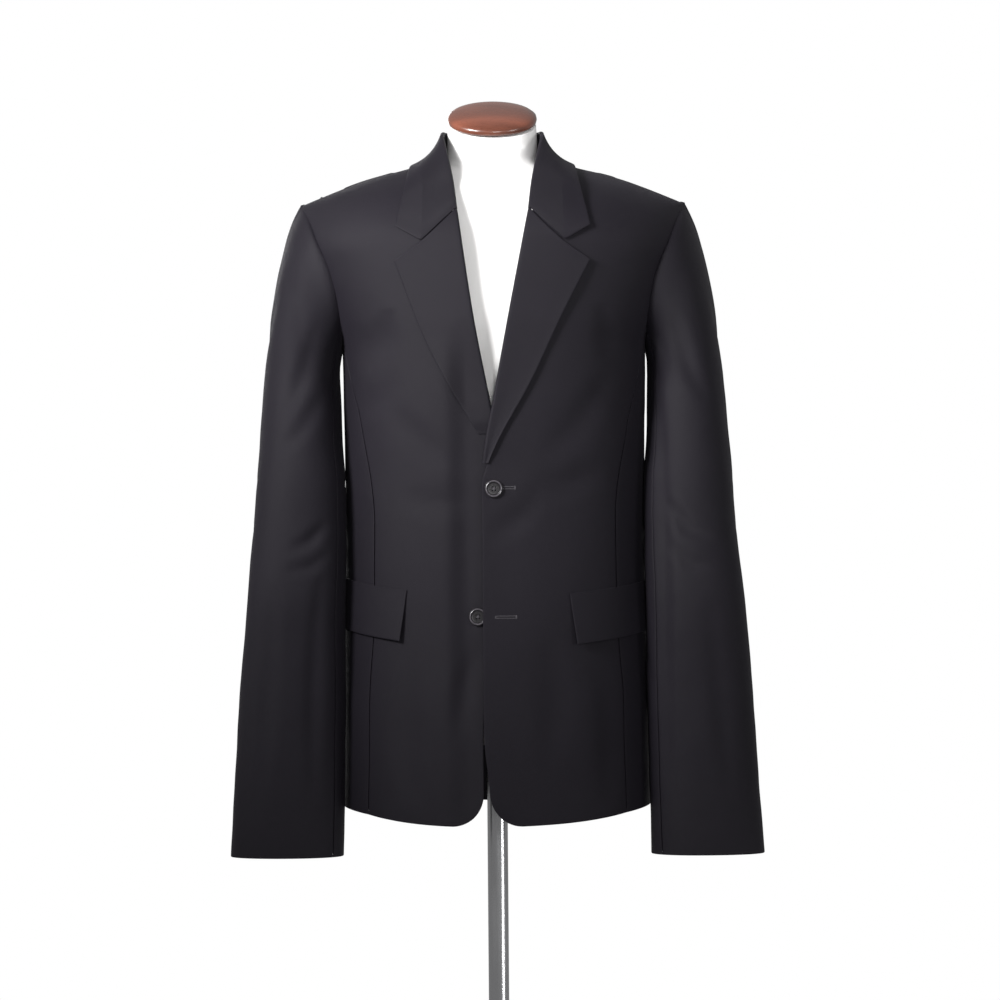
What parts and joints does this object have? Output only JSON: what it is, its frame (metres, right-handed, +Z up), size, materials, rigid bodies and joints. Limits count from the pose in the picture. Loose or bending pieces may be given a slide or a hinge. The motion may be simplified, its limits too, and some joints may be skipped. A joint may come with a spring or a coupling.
{
  "type": "single breasted blazer on a dress form",
  "caption": "Tailored single breasted blazer with notched lapels, hip flaps and long sleeves, shown on a limbless dress form with pole and round foot.",
  "frame": {"origin": "on the floor at the centre of the round foot, under the pole", "axes": "+Z up, front of the jacket towards -Y, wearer's left towards +X"},
  "size_m": [0.5944, 0.35, 1.5241],
  "materials": {
    "wool": "matt, faint sheen",
    "horn": "glossy",
    "linen": "matt white cover",
    "varnished_wood": "glossy varnish",
    "steel": "polished",
    "painted_iron": "satin black"
  },
  "bodies": {
    "root": {"front_left": "wool", "front_right": "wool", "side_left": "wool", "side_right": "wool", "back_left": "wool", "back_right": "wool", "lapel_left": "wool", "lapel_right": "wool", "collar": "wool", "sleeve_top_left": "wool", "sleeve_top_right": "wool", "sleeve_under_left": "wool", "sleeve_under_right": "wool", "flap_left": "wool", "flap_right": "wool", "button_top": "horn", "button_low": "horn", "form_torso": "linen", "form_cap": "varnished_wood", "stand_pole": "steel", "stand_base": "painted_iron"}
  },
  "joints": []
}
